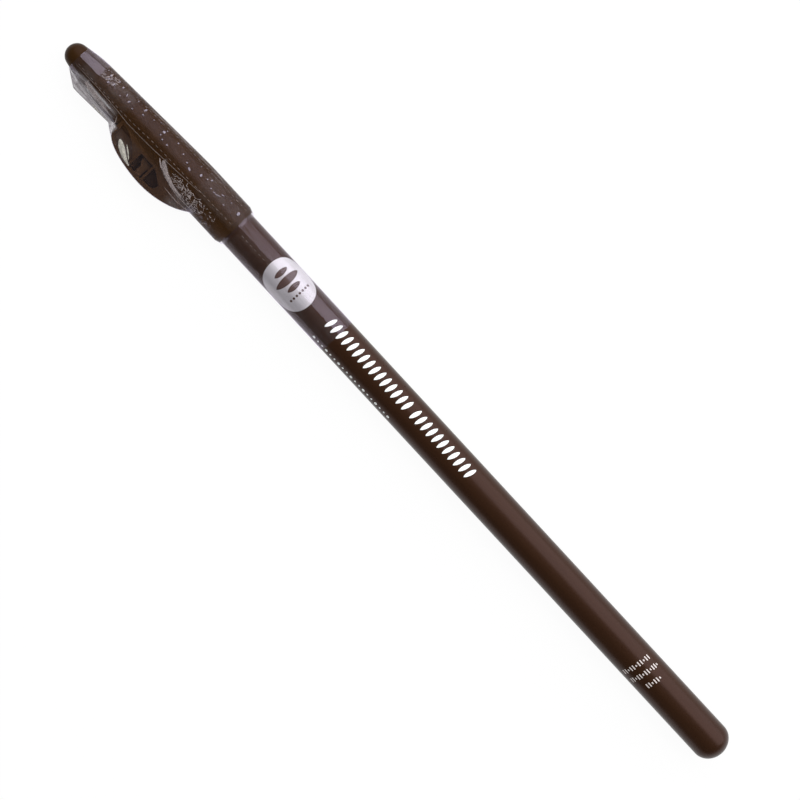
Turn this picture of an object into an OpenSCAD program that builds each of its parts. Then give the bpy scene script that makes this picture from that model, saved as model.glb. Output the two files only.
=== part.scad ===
// Eyeliner pencil with its sharpener cap on, sealed in a clear shrink film.
//
// Everything is drawn about the pencil's own axis first: x runs from the closed
// tip of the cap (x = 0) to the rounded end of the pencil, the sharpener housing
// stands out towards -y, and z points up. at_rest() then lays the whole pencil
// down on the surface z = 0, with the centre of its footprint at the origin.

/* [Pencil] */
// Length of the sharpened pencil
pencil_l = 173; // [120:1:180]
// Diameter of the lacquered casing
casing_d = 8; // [7.6:0.1:8.2]
// Diameter of the pigment core
core_d = 3; // [2.4:0.1:4]
// Diameter of the blunt tip of the core
tip_d = 1.8; // [1.2:0.1:2.2]
// Length of the sharpened cone
cone_l = 19; // [18:0.5:21]
// Depth of the rounded far end
end_depth = 3.6; // [1:0.1:4]
// Wood left between the core and the far end
end_wood = 8; // [5:0.5:30]
// Glue line between the core and its groove, on the radius
glue_gap = 0.04; // [0.02:0.01:0.06]

/* [Cap] */
// Length of the cap
cap_l = 48.4; // [46:0.2:60]
// Outer diameter of the cap at its mouth
mouth_d = 9.5; // [9.4:0.1:11]
// Length of the parallel collar at the mouth
collar_l = 12.5; // [4:0.5:13]
// Radius of the dome that closes the cap
dome_r = 2.5; // [2:0.1:2.8]
// Length of the nose, up to the shoulder where the long taper starts
nose_l = 6.8; // [5:0.1:9]
// Diameter of the cap at the shoulder of the nose
nose_d = 6.7; // [6.2:0.1:7.2]
// Distance from the tip of the cap to the tip of the pencil
tip_depth = 19.4; // [18:0.1:20]
// Running clearance between the casing and what slides over it, on the radius
slide_gap = 0.08; // [0.04:0.01:0.1]
// Clearance between the pencil's cone and the sharpening cone
cone_gap = 0.25; // [0.1:0.05:0.4]
// Depth of the relief in front of the pencil's tip
tip_relief = 2; // [0.5:0.5:4]
// Width of the chamfer inside the mouth
mouth_chamfer = 0.15; // [0.05:0.05:0.2]
// Width of the bevel outside the mouth
mouth_bevel = 0.35; // [0.1:0.05:0.4]
// Length of that bevel along the axis
mouth_bevel_l = 1; // [0.4:0.1:1.5]
// Half length over which the shoulders of the cap are blended
blend_l = 2; // [0.5:0.1:2.5]

/* [Sharpener housing] */
// Height of the housing's crest above the pencil's axis
crest_r = 8.1; // [8:0.1:9]
// Length of the housing in front of the crest
front_l = 10; // [9.6:0.1:13]
// Length of the housing behind the crest
rear_l = 12.2; // [12:0.1:14]
// Distance of the crest from the middle of the pencil's cone
crest_shift = -1.1; // [-1.3:0.1:0]
// How fast the housing's outline rises from its front end, lower is blunter
front_swell = 0.35; // [0.3:0.05:0.8]
// How fast it rises from its rear end
rear_swell = 0.9; // [0.7:0.05:0.95]
// Half width of the housing at its crest
crest_w = 1.4; // [1:0.1:1.8]
// Half width of the housing's blunt front end
front_w = 3.4; // [2:0.1:3.8]
// Half width of the housing at its rear end
end_w = 1; // [0.6:0.1:1.2]
// Wall round the pockets
rim_wall = 0.8; // [0.6:0.05:1]
// Thickness of the floor that carries the blade
floor_t = 1; // [0.7:0.1:1.4]
// Thickness of the two ribs between the pockets
rib_t = 0.5; // [0.4:0.05:0.8]
// Distance from the screw to the middle of each rib
rib_reach = 1.9; // [1.8:0.1:2.4]
// Distance from the axis to the inner wall of the two deep pockets
pocket_in = 3.7; // [3.4:0.1:4]
// Length of the rear pocket
rear_pocket_l = 3; // [2:0.1:3.5]
// How much the rear pocket narrows towards its far end
pocket_slant = 1.8; // [0.5:0.1:2]
// Radius of the rear pocket's outer corner
pocket_corner = 1.2; // [0.6:0.1:1.5]
// Depth of the shallow panel in front of the ribs
panel_depth = 0.8; // [0.4:0.1:1.2]
// Distance from the axis to the panel at its front end
panel_in = 2.4; // [2:0.1:3]
// Distance from the axis to the panel at the front rib
panel_out = 5.8; // [4:0.1:6.4]

/* [Blade] */
// Length of the blade
blade_l = 17; // [16:0.1:17.4]
// Width of the blade
blade_w = 5.4; // [5.3:0.05:5.6]
// Thickness of the blade
blade_t = 0.45; // [0.3:0.05:0.6]
// Width of the ground bevel
bevel_w = 0.9; // [0.5:0.1:1.4]
// How far the cutting edge reaches past the line where it touches the cone
edge_reach = 0.15; // [0:0.05:0.3]
// Clearance round the blade in its recess
blade_gap = 0.1; // [0.05:0.05:0.2]
// Width of the slot that lets the shavings out
chip_slot_w = 2; // [1:0.1:2.4]
// Depth of that slot into the sharpening cone
chip_slot_depth = 0.9; // [0.5:0.1:1.2]

/* [Screw] */
// Distance from the pencil's axis to the screw
screw_reach = 4; // [3.9:0.05:4.1]
// How far the screw sits in front of the blade's middle
screw_shift = 2.1; // [1.5:0.1:2.5]
// Diameter of the screw's shank
shank_d = 1.5; // [1.2:0.1:1.6]
// Length of the screw's shank
shank_l = 3; // [2:0.1:3.5]
// Diameter of the screw's head
head_d = 2.5; // [2.2:0.1:2.6]
// Height of the screw's head
head_h = 0.45; // [0.35:0.05:0.5]
// Width of the slot in the head
slot_w = 0.4; // [0.3:0.05:0.5]
// Depth of the slot in the head
slot_depth = 0.3; // [0.2:0.05:0.4]
// Clearance between the shank and the holes it passes through, on the radius
shank_gap = 0.03; // [0.02:0.01:0.06]
// Wall of the boss round the screw
boss_wall = 0.75; // [0.5:0.05:0.9]
// Height of the boss above the blade's seat
boss_h = 3.9; // [3.2:0.1:4.4]
// Thickness of the web that ties the boss to the rim
web_t = 1.4; // [0.8:0.1:1.8]

/* [Shrink film] */
// Thickness of the film
film_t = 0.1; // [0.05:0.01:0.15]
// Air between the film and the cap
film_gap = 0.1; // [0.08:0.01:0.15]
// Where the film starts, from the tip of the cap
film_front = 3; // [2:0.1:5]
// Length of film that covers the casing behind the cap
neck_l = 29.3; // [10:0.1:60]
// Length over which the film draws in behind the cap's mouth
draw_in_l = 1.2; // [0.8:0.1:6]
// Height of the folded flap at the front of the film
flap_front = 1.6; // [0.5:0.1:1.8]
// Height of the flap where it meets the housing
flap_rear = 0.6; // [0.2:0.1:0.8]
// Length over which the flap rises at its slanted front end
flap_slant = 3.6; // [1:0.1:5]
// How far in front of the housing the film leaves the flap to bridge the corner
bridge_front = 1.6; // [0.8:0.1:2]
// How far behind the housing's front end the film lands on its outline
bridge_rear = 1.8; // [1:0.1:3]

/* [Hidden] */

$fn = 72;
// Overlap that makes a cut pass clean through a face
past = 1;

casing_r = casing_d / 2;
core_r = core_d / 2;
tip_r = tip_d / 2;
mouth_r = mouth_d / 2;
nose_r = nose_d / 2;
groove_r = core_r + glue_gap;
bore_r = casing_r + slide_gap;

// Stations along the axis
cone_end = tip_depth + cone_l;
pencil_end = tip_depth + pencil_l;
core_end = pencil_end - end_wood;
collar_x = cap_l - collar_l;
cone_middle = tip_depth + cone_l / 2;
crest_x = cone_middle + crest_shift;
front_x = crest_x - front_l;
rear_x = crest_x + rear_l;
film_end = cap_l + neck_l;

// The pencil's cone and the sharpening cone round it
cone_slope = (casing_r - tip_r) / cone_l;
cone_angle = atan(cone_slope);
wood_start = tip_depth + (groove_r - tip_r) / cone_slope;
function cone_r(x) = tip_r + (x - tip_depth) * cone_slope;
function sharpening_r(x) = cone_r(x) + cone_gap / cos(cone_angle);
sharpening_end = cone_end + (bore_r - sharpening_r(cone_end)) / cone_slope;

// The blade's seat is the plane that touches the sharpening cone from below
blade_x = cone_middle;
screw_x = blade_x - screw_shift;
function seat_z(x) = -sharpening_r(x);
blade_rear_x = blade_x + blade_l / 2;

// Outer radius of the round part of the cap: a dome, a steep nose that leaves the
// dome tangentially, a long taper and a parallel collar, blended into each other
nose_angle = atan2(nose_r, nose_l - dome_r) - asin(dome_r / norm([nose_r, nose_l - dome_r]));
nose_slope = tan(nose_angle);
taper_slope = (mouth_r - nose_r) / (collar_x - nose_l);
function blended(x, corner, change) =
    change * pow(max(0, min(2 * blend_l, x - corner + blend_l)), 2) / (4 * blend_l)
    + change * max(0, x - corner - blend_l);
function cap_r(x) =
    nose_r + (x - nose_l) * nose_slope
    + blended(x, nose_l, taper_slope - nose_slope)
    + blended(x, collar_x, -taper_slope);

// Side view of the sharpener housing: its height above the axis
root_depth = 0.2;
function swelling(x) =
    x < crest_x ? pow(max(0, 1 - pow((x - crest_x) / front_l, 2)), front_swell) :
    pow(max(0, 1 - pow((x - crest_x) / rear_l, 2)), rear_swell);
function housing_root(x) = cap_r(x) - root_depth;
function housing_r(x) =
    housing_root(x) + (crest_r - housing_root(crest_x)) * swelling(x);
// The stations lie close together where the outline rises steeply
front_steps = 12;
rear_steps = 12;
housing_x = concat(
    [for (i = [0:front_steps - 1]) crest_x - front_l * cos(90 * i / front_steps)],
    [for (i = [0:rear_steps]) crest_x + rear_l * sin(90 * i / rear_steps)]
);

// Half widths of the housing: its upper flank leans in from the round cap, which it
// touches at the front end, and its rear end tapers off
flank_angle = asin(cap_r(front_x) / norm([crest_r, crest_w])) - atan2(crest_w, crest_r);
function flank_z(r) = crest_w + (crest_r - r) * tan(flank_angle);
function housing_top(x) =
    let (end = x < crest_x ? front_w : end_w)
    end + (casing_r - end) * swelling(x);
function housing_floor(x) =
    x < blade_rear_x ? blade_t - seat_z(x) :
    let (deep = blade_t - seat_z(blade_rear_x))
    deep + (end_w - deep) * (x - blade_rear_x) / (rear_x - blade_rear_x);

// The film is the shape of a band stretched round the cap and the housing.
// tip_reach is how far it stands out, upper_w and lower_w are the half widths there.
flap_full_x = film_front + flap_slant;
bridge_x = front_x - bridge_front;
landing_x = front_x + bridge_rear;
bevel_x = cap_l - mouth_bevel_l;
neck_x = cap_l + draw_in_l;
function share(x, x0, x1) = max(0, min(1, (x - x0) / (x1 - x0)));
function between(a, b, part) = a + (b - a) * part;
function flap_h(x) =
    x < flap_full_x ? between(film_gap, flap_front, share(x, film_front, flap_full_x)) :
    between(flap_front, flap_rear, share(x, flap_full_x, bridge_x));
function sleeve_r(x) =
    film_gap + (
        x < bevel_x ? cap_r(x) :
        x < cap_l ? mouth_r - mouth_bevel * share(x, bevel_x, cap_l) :
        between(mouth_r - mouth_bevel, bore_r - film_gap, share(x, cap_l, neck_x))
    );
function bridge_r(x) =
    between(
        cap_r(bridge_x) + flap_rear,
        housing_r(landing_x) + film_gap,
        share(x, bridge_x, landing_x)
    );
function tip_reach(x) =
    x < bridge_x ? cap_r(x) + flap_h(x) :
    x < front_x ? bridge_r(x) :
    x < landing_x ? max(housing_r(x) + film_gap, bridge_r(x)) :
    x < rear_x ? housing_r(x) + film_gap :
    sleeve_r(x);
fold_w = 0.1;
function flap_w(x) = between(fold_w, end_w, share(x, film_front, bridge_x));
function block_top(x) = min(flank_z(housing_r(x)), housing_top(x)) + film_gap;
function block_floor(x) = housing_floor(x) + film_gap;
function upper_w(x) =
    x < bridge_x ? flap_w(x) :
    x < front_x ? between(end_w, block_top(front_x), share(x, bridge_x, front_x)) :
    x > rear_x ? fold_w :
    block_top(x);
function lower_w(x) =
    x < bridge_x ? flap_w(x) :
    x < front_x ? between(end_w, block_floor(front_x), share(x, bridge_x, front_x)) :
    x > rear_x ? fold_w :
    block_floor(x);

// Half of the band, from the tip of the section round to its back, as pairs of
// angle and radius: a flat across the tip, a straight tent and the round back
flat_steps = 2;
tent_steps = 4;
round_steps = 13;
least_spread = 60;
function band(r, reach, w) =
    let (
        far = norm([reach, w]),
        corner = atan2(w, reach),
        touch = corner + acos(min(1, r / far)),
        spread = max(touch, least_spread)
    )
    concat(
        [for (i = [0:flat_steps]) let (a = corner * i / flat_steps)
            [a, max(r, reach / cos(a))]],
        [for (i = [1:tent_steps]) let (a = corner + (spread - corner) * i / tent_steps)
            [a, far > r && a < touch ? r / cos(touch - a) : r]],
        [for (i = [1:round_steps]) [spread + (180 - spread) * i / round_steps, r]]
    );
function ring(x, skin) =
    let (
        r = sleeve_r(x) + skin,
        reach = tip_reach(x) + skin,
        up = band(r, reach, upper_w(x) + skin),
        low = band(r, reach, lower_w(x) + skin),
        last = len(up) - 1
    )
    concat(
        [for (p = up) [x, -p[1] * cos(p[0]), p[1] * sin(p[0])]],
        [for (i = [last - 1:-1:1]) [x, -low[i][1] * cos(low[i][0]), -low[i][1] * sin(low[i][0])]]
    );
slant_steps = 2;
flap_steps = 6;
bridge_steps = 3;
film_x = concat(
    [for (i = [0:slant_steps - 1]) between(film_front, flap_full_x, i / slant_steps)],
    [for (i = [0:flap_steps - 1]) between(flap_full_x, bridge_x, i / flap_steps)],
    [for (i = [0:bridge_steps - 1]) between(bridge_x, front_x, i / bridge_steps)],
    [for (x = housing_x) if (x < blade_rear_x) x],
    [blade_rear_x],
    [for (x = housing_x) if (x > blade_rear_x) x],
    [(rear_x + bevel_x) / 2, bevel_x, cap_l, neck_x, film_end]
);
film_outer = [for (x = film_x) ring(x, film_t)];
film_inner = [for (x = film_x) ring(x, 0)];

// The pencil rolls until both the collar of the cap and the housing touch the surface
rest_r = mouth_r + film_gap + film_t;
contact_play = 0.02;
rest_roll = min([
    for (section = film_outer)
    for (p = section)
    let (far = norm([p[1], p[2]]))
    if (far > rest_r + contact_play && p[1] < 0 && p[2] < 0)
    asin(rest_r / far) - atan2(-p[2], -p[1])
]);
side_reach = max([
    for (section = film_outer)
    for (p = section)
    p[2] * sin(rest_roll) - p[1] * cos(rest_roll)
]);
middle_x = pencil_end / 2;
middle_y = (rest_r - side_reach) / 2;

module at_rest() {
    translate([-middle_x, -middle_y, rest_r])
        rotate([rest_roll, 0, 0])
            children();
}

// Turns a drawing of x and radius into a solid round the pencil's axis
module turned() {
    rotate([0, 90, 0])
        rotate([0, 0, 90])
            rotate_extrude()
                children();
}

// Places children on the blade's seat: x along the cutting edge, z out of the seat
module on_seat(x) {
    translate([x, 0, seat_z(x)])
        rotate([0, cone_angle, 0])
            children();
}

dome_steps = 12;
module casing_blank() {
    dome_start = pencil_end - end_depth;
    turned()
        polygon(concat(
            [[groove_r, wood_start], [casing_r, cone_end]],
            [for (i = [0:dome_steps]) let (a = 90 * i / dome_steps)
                [casing_r * cos(a), dome_start + end_depth * sin(a)]],
            [[0, core_end], [groove_r, core_end]]
        ));
}

module half_space(up) {
    translate([middle_x, 0, up * casing_d])
        cube([pencil_end + 2 * past, 2 * casing_d, 2 * casing_d], center = true);
}

module casing_half_upper() {
    color("#453430")
        at_rest()
            intersection() {
                casing_blank();
                half_space(1);
            }
}

module casing_half_lower() {
    color("#453430")
        at_rest()
            intersection() {
                casing_blank();
                half_space(-1);
            }
}

tip_round = 0.4;
module pigment_core() {
    full_x = tip_depth + (core_r - tip_r) / cone_slope;
    color("#2a1c18")
        at_rest()
            turned()
                polygon([
                    [0, tip_depth],
                    [tip_r - tip_round, tip_depth],
                    [tip_r + tip_round * cone_slope, tip_depth + tip_round],
                    [core_r, full_x],
                    [core_r, core_end - glue_gap],
                    [0, core_end - glue_gap]
                ]);
}

blend_steps = 6;
module cap_round() {
    nose_x = dome_r * (1 - sin(nose_angle));
    translate([dome_r, 0, 0])
        sphere(r = dome_r);
    turned()
        polygon(concat(
            [[0, nose_x], [dome_r * cos(nose_angle), nose_x]],
            [for (i = [0:blend_steps]) let (x = nose_l + blend_l * (2 * i / blend_steps - 1))
                [cap_r(x), x]],
            [for (i = [0:blend_steps]) let (x = collar_x + blend_l * (2 * i / blend_steps - 1))
                [cap_r(x), x]],
            [[mouth_r, bevel_x], [mouth_r - mouth_bevel, cap_l], [0, cap_l]]
        ));
}

// The bore for the casing, the sharpening cone and the relief for the tip
module cap_hollow() {
    relief_r = sharpening_r(tip_depth);
    turned()
        polygon([
            [0, tip_depth - tip_relief],
            [relief_r, tip_depth - tip_relief],
            [relief_r, tip_depth],
            [bore_r, sharpening_end],
            [bore_r, cap_l - mouth_chamfer],
            [bore_r + mouth_chamfer, cap_l],
            [bore_r + mouth_chamfer, cap_l + past],
            [0, cap_l + past]
        ]);
}

// Side view of the housing, drawn inset from its outline
module housing_outline(inset) {
    polygon(concat(
        [for (x = housing_x) [x, -max(housing_r(x) - inset, 0)]],
        [[rear_x, 0], [front_x, 0]]
    ));
}

// Cross-section of the housing, from the axis out to the crest
module housing_section() {
    polygon([
        [0, -mouth_d],
        [0, flank_z(0)],
        [-crest_r - past, flank_z(crest_r + past)],
        [-crest_r - past, -mouth_d]
    ]);
}

// Front view of the housing: the flank above, the blade's side below
module housing_front() {
    polygon(concat(
        [for (x = housing_x) [x, housing_top(x)]],
        [
            [rear_x, -housing_floor(rear_x)],
            [blade_rear_x, -housing_floor(blade_rear_x)],
            [front_x, -housing_floor(front_x)]
        ]
    ));
}

module housing_block() {
    difference() {
        intersection() {
            translate([0, 0, -mouth_d])
                linear_extrude(height = 2 * mouth_d)
                    housing_outline(0);
            rotate([90, 0, 90])
                linear_extrude(height = cap_l)
                    housing_section();
            rotate([90, 0, 0])
                linear_extrude(height = crest_r + past)
                    housing_front();
        }
        housing_pockets();
    }
}

// The housing is cored out from above: a shallow panel in front of the ribs, and
// behind it two deep pockets down to the blade's floor
module housing_pockets() {
    front_rib = screw_x - rib_reach;
    rear_rib = screw_x + rib_reach;
    intersection() {
        upright()
            front_panel(front_x + rim_wall, front_rib - rib_t / 2);
        rotate([90, 0, 90])
            linear_extrude(height = cap_l)
                panel_section();
    }
    difference() {
        upright()
            middle_pocket(front_rib + rib_t / 2, rear_rib - rib_t / 2);
        pocket_keep();
        screw_boss();
    }
    difference() {
        upright()
            rear_pocket(rear_rib + rib_t / 2, rear_rib + rib_t / 2 + rear_pocket_l);
        pocket_keep();
    }
}

module upright() {
    translate([0, 0, -mouth_d])
        linear_extrude(height = 2 * mouth_d)
            children();
}

// Seen from above, the panel's inner edge curves outwards to the front rib
panel_steps = 8;
module front_panel(x0, x1) {
    intersection() {
        housing_outline(rim_wall);
        polygon(concat(
            [for (i = [0:panel_steps]) let (part = i / panel_steps)
                [between(x0, x1, part), -between(panel_in, panel_out, pow(part, 2))]],
            [[x1, -crest_r], [x0, -crest_r]]
        ));
    }
}

// What the panel takes away in cross-section: all that lies above its sloping floor
module panel_section() {
    polygon([
        [0, mouth_d],
        [0, flank_z(0) - panel_depth],
        [-crest_r, flank_z(crest_r) - panel_depth],
        [-crest_r, mouth_d]
    ]);
}

module middle_pocket(x0, x1) {
    intersection() {
        housing_outline(rim_wall);
        translate([x0, -crest_r])
            square([x1 - x0, crest_r - pocket_in]);
    }
}

// The rear pocket narrows towards its far end, where its outer corner is rounded
module rear_pocket(x0, x1) {
    out_y = rim_wall - housing_r(x1);
    polygon(concat(
        [[x0, out_y], [x0, -pocket_in], [x1, -pocket_in - pocket_slant]],
        [for (a = [0:15:90])
            [x1 - pocket_corner * (1 - cos(a)), out_y + pocket_corner * (1 - sin(a))]]
    ));
}

// What the pockets leave standing: the round cap and the blade's floor
module pocket_keep() {
    cap_round();
    on_seat(blade_x)
        translate([-cap_l / 2, -2 * crest_r, floor_t - 2 * mouth_d])
            cube([cap_l, 4 * crest_r, 2 * mouth_d]);
}

// The boss round the screw, with a web out to the rim
module screw_boss() {
    on_seat(screw_x) {
        translate([0, -screw_reach, 0])
            cylinder(r = shank_d / 2 + boss_wall, h = boss_h);
        translate([-web_t / 2, -crest_r, 0])
            cube([web_t, crest_r - screw_reach, boss_h]);
    }
}

// Recess for the blade, cut up to its seat
module blade_recess() {
    on_seat(blade_x)
        translate([-blade_l / 2 - blade_gap, -blade_w + edge_reach - blade_gap, -mouth_d])
            cube([blade_l + 2 * blade_gap, blade_w + 2 * blade_gap, mouth_d]);
}

// Slot beside the cutting edge that opens the sharpening cone for the shavings
module chip_slot() {
    on_seat(blade_x)
        translate([-blade_l / 2 - blade_gap, 0, -mouth_d])
            cube([blade_l + 2 * blade_gap, edge_reach + chip_slot_w, mouth_d + chip_slot_depth]);
}

module screw_hole() {
    on_seat(screw_x)
        translate([0, -screw_reach, -past])
            cylinder(r = shank_d / 2 + shank_gap, h = past + shank_l - blade_t + shank_gap);
}

module cap_shell() {
    color("#3a2a25")
        at_rest()
            difference() {
                union() {
                    cap_round();
                    housing_block();
                }
                cap_hollow();
                blade_recess();
                chip_slot();
                screw_hole();
            }
}

module sharpener_blade() {
    color("#c4c8cc")
        at_rest()
            difference() {
                on_seat(blade_x)
                    rotate([90, 0, 90])
                        linear_extrude(height = blade_l, center = true)
                            polygon([
                                [edge_reach, 0],
                                [edge_reach - blade_w, 0],
                                [edge_reach - blade_w, -blade_t],
                                [edge_reach - bevel_w, -blade_t]
                            ]);
                on_seat(screw_x)
                    translate([0, -screw_reach, -blade_t - past])
                        cylinder(r = shank_d / 2 + shank_gap, h = blade_t + 2 * past);
            }
}

module blade_screw() {
    color("#9da1a5")
        at_rest()
            on_seat(screw_x)
                translate([0, -screw_reach, -blade_t]) {
                    cylinder(r = shank_d / 2, h = shank_l);
                    difference() {
                        translate([0, 0, -head_h])
                            cylinder(r = head_d / 2, h = head_h);
                        translate([0, 0, -head_h])
                            cube([2 * head_d, slot_w, 2 * slot_depth], center = true);
                    }
                }
}

module shrink_film() {
    rings = len(film_x);
    around = len(film_outer[0]);
    shift = rings * around;
    points = concat([for (s = film_outer) each s], [for (s = film_inner) each s]);
    color("#b9b4b8", 0.35)
        at_rest()
            polyhedron(
                points = points,
                faces = concat(
                    [for (i = [0:rings - 2]) for (k = [0:around - 1])
                        let (a = i * around + k, b = i * around + (k + 1) % around)
                        each [[a, b, a + around], [b, b + around, a + around]]],
                    [for (i = [0:rings - 2]) for (k = [0:around - 1])
                        let (a = shift + i * around + k, b = shift + i * around + (k + 1) % around)
                        each [[a, a + around, b], [b, a + around, b + around]]],
                    [for (k = [0:around - 1])
                        let (a = k, b = (k + 1) % around)
                        each [[a, a + shift, b], [b, a + shift, b + shift]]],
                    [for (k = [0:around - 1])
                        let (a = (rings - 1) * around + k, b = (rings - 1) * around + (k + 1) % around)
                        each [[a, b, a + shift], [b, b + shift, a + shift]]]
                )
            );
}

casing_half_upper();
casing_half_lower();
pigment_core();
cap_shell();
sharpener_blade();
blade_screw();
shrink_film();
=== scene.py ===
"""Eyeliner pencil with its sharpener cap on, in clear shrink film, on a pale floor.

Lengths are in millimetres along and round the pencil: x runs from the closed tip of the
cap to the rounded far end, and y is across, with the sharpener housing towards -y.
"""
import math

import bpy
import numpy as np
from mathutils import Matrix, Vector, noise
from random import Random


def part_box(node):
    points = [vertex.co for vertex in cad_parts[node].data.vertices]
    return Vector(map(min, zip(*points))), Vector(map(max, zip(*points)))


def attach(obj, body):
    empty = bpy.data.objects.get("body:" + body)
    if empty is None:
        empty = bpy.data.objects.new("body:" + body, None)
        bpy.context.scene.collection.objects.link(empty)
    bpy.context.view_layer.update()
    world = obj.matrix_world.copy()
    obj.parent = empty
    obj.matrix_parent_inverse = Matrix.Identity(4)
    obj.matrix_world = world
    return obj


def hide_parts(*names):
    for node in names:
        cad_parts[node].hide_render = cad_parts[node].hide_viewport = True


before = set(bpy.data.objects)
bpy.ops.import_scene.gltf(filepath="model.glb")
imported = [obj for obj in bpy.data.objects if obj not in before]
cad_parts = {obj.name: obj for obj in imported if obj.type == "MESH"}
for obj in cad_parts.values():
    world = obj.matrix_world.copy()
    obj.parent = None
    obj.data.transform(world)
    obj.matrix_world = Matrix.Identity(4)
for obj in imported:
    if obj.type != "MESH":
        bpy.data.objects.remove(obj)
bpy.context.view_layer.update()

MM = 0.001

# The pencil's axis and its stations, read from the solids
core_lo, core_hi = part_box("pigment_core")
casing_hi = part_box("casing_half_upper")[1]
AXIS_Y = (core_lo.y + core_hi.y) / 2
AXIS_Z = (core_lo.z + core_hi.z) / 2
CAP_TIP_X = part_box("cap_shell")[0].x
PENCIL_END = (casing_hi.x - CAP_TIP_X) / MM
CASING_R = (casing_hi.y - AXIS_Y) / MM

# Sizes of the cap and of the film, as in the solids
TIP_DEPTH, CONE_L = 19.4, 19.0
CONE_END = TIP_DEPTH + CONE_L
END_DEPTH = 3.6
CAP_L, MOUTH_R, COLLAR_L = 48.4, 4.75, 12.5
MOUTH_BEVEL, MOUTH_BEVEL_L = 0.35, 1.0
DOME_R, NOSE_L, NOSE_R, BLEND_L = 2.5, 6.8, 3.35, 2.0
CREST_R, FRONT_L, REAR_L, CREST_SHIFT = 8.1, 10.0, 12.2, -1.1
FRONT_SWELL, REAR_SWELL, ROOT_DEPTH = 0.35, 0.9, 0.2
CREST_W, FRONT_W, END_W = 1.4, 3.4, 1.0
TIP_R, CONE_GAP, BLADE_L, BLADE_T = 0.9, 0.25, 17.0, 0.45
FILM_FRONT, NECK_L, DRAW_IN_L = 3.0, 29.3, 1.2
FLAP_FRONT, FLAP_REAR, FLAP_SLANT, FOLD_W = 1.6, 0.6, 3.6, 0.1
BRIDGE_FRONT, BRIDGE_REAR = 1.6, 1.8
REST_ROLL = math.radians(1.902)

COLLAR_X, BEVEL_X = CAP_L - COLLAR_L, CAP_L - MOUTH_BEVEL_L
CREST_X = TIP_DEPTH + CONE_L / 2 + CREST_SHIFT
FRONT_X, REAR_X = CREST_X - FRONT_L, CREST_X + REAR_L
FLAP_FULL_X, BRIDGE_X, LANDING_X = FILM_FRONT + FLAP_SLANT, FRONT_X - BRIDGE_FRONT, FRONT_X + BRIDGE_REAR
FILM_END = CAP_L + NECK_L
BLADE_REAR_X = TIP_DEPTH + CONE_L / 2 + BLADE_L / 2


def rgb(red, green, blue):
    """A colour given as it shows, 0 to 255, as the linear values that a shader takes."""
    def linear(v):
        v /= 255
        return v / 12.92 if v <= 0.04045 else ((v + 0.055) / 1.055) ** 2.4
    return linear(red), linear(green), linear(blue), 1.0


# Materials

def new_material(name):
    material = bpy.data.materials.new(name)
    material.use_nodes = True
    tree = material.node_tree
    return material, tree, tree.nodes["Principled BSDF"]


def object_coordinates(tree, scale):
    """Object coordinates stretched by scale, in 1/m."""
    where = tree.nodes.new("ShaderNodeTexCoord")
    mapping = tree.nodes.new("ShaderNodeMapping")
    mapping.inputs["Scale"].default_value = scale
    tree.links.new(where.outputs["Object"], mapping.inputs["Vector"])
    return mapping.outputs["Vector"]


def noise_value(tree, vector, detail=3.0, rough=0.55):
    node = tree.nodes.new("ShaderNodeTexNoise")
    node.inputs["Scale"].default_value = 1.0
    node.inputs["Detail"].default_value = detail
    node.inputs["Roughness"].default_value = rough
    tree.links.new(vector, node.inputs["Vector"])
    return node.outputs["Fac"]


def ramp(tree, value, stops):
    """A colour ramp through (position, colour) stops."""
    node = tree.nodes.new("ShaderNodeValToRGB")
    elements = node.color_ramp.elements
    while len(elements) < len(stops):
        elements.new(0.5)
    for element, (position, colour) in zip(elements, stops):
        element.position = position
        element.color = colour
    tree.links.new(value, node.inputs["Fac"])
    return node.outputs["Color"]


def remap(tree, value, low, high, out_low, out_high):
    node = tree.nodes.new("ShaderNodeMapRange")
    for socket, number in zip(("From Min", "From Max", "To Min", "To Max"), (low, high, out_low, out_high)):
        node.inputs[socket].default_value = number
    tree.links.new(value, node.inputs["Value"])
    return node.outputs["Result"]


def arithmetic(tree, operation, first, second):
    node = tree.nodes.new("ShaderNodeMath")
    node.operation = operation
    for socket, term in zip(node.inputs, (first, second)):
        if isinstance(term, (int, float)):
            socket.default_value = term
        else:
            tree.links.new(term, socket)
    return node.outputs["Value"]


def bump(tree, height, strength, distance):
    node = tree.nodes.new("ShaderNodeBump")
    node.inputs["Strength"].default_value = strength
    node.inputs["Distance"].default_value = distance
    tree.links.new(height, node.inputs["Height"])
    return node.outputs["Normal"]


def lacquer_material():
    """Satin chocolate lacquer with a faint ripple along the wood under it."""
    material, tree, shader = new_material("lacquer")
    ripple = noise_value(tree, object_coordinates(tree, (60, 900, 900)))
    tone = ramp(tree, ripple, [(0.3, rgb(43, 25, 13)), (0.7, rgb(47, 28, 15))])
    tree.links.new(tone, shader.inputs["Base Color"])
    fine = noise_value(tree, object_coordinates(tree, (2500, 2500, 2500)))
    tree.links.new(remap(tree, fine, 0.3, 0.7, 0.27, 0.33), shader.inputs["Roughness"])
    shader.inputs["Specular IOR Level"].default_value = 0.3
    shader.inputs["Specular Tint"].default_value = (1.0, 0.7, 0.68, 1.0)
    tree.links.new(bump(tree, ripple, 0.15, 0.00003), shader.inputs["Normal"])
    return material


def wood_material():
    """Bare pale wood with grain along the pencil."""
    material, tree, shader = new_material("bare_wood")
    grain = noise_value(tree, object_coordinates(tree, (90, 1900, 1900)), detail=5, rough=0.65)
    stops = [(0.3, rgb(168, 122, 82)), (0.55, rgb(206, 168, 126)), (0.75, rgb(221, 188, 150))]
    tree.links.new(ramp(tree, grain, stops), shader.inputs["Base Color"])
    shader.inputs["Roughness"].default_value = 0.62
    tree.links.new(bump(tree, grain, 0.4, 0.00004), shader.inputs["Normal"])
    return material


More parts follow.
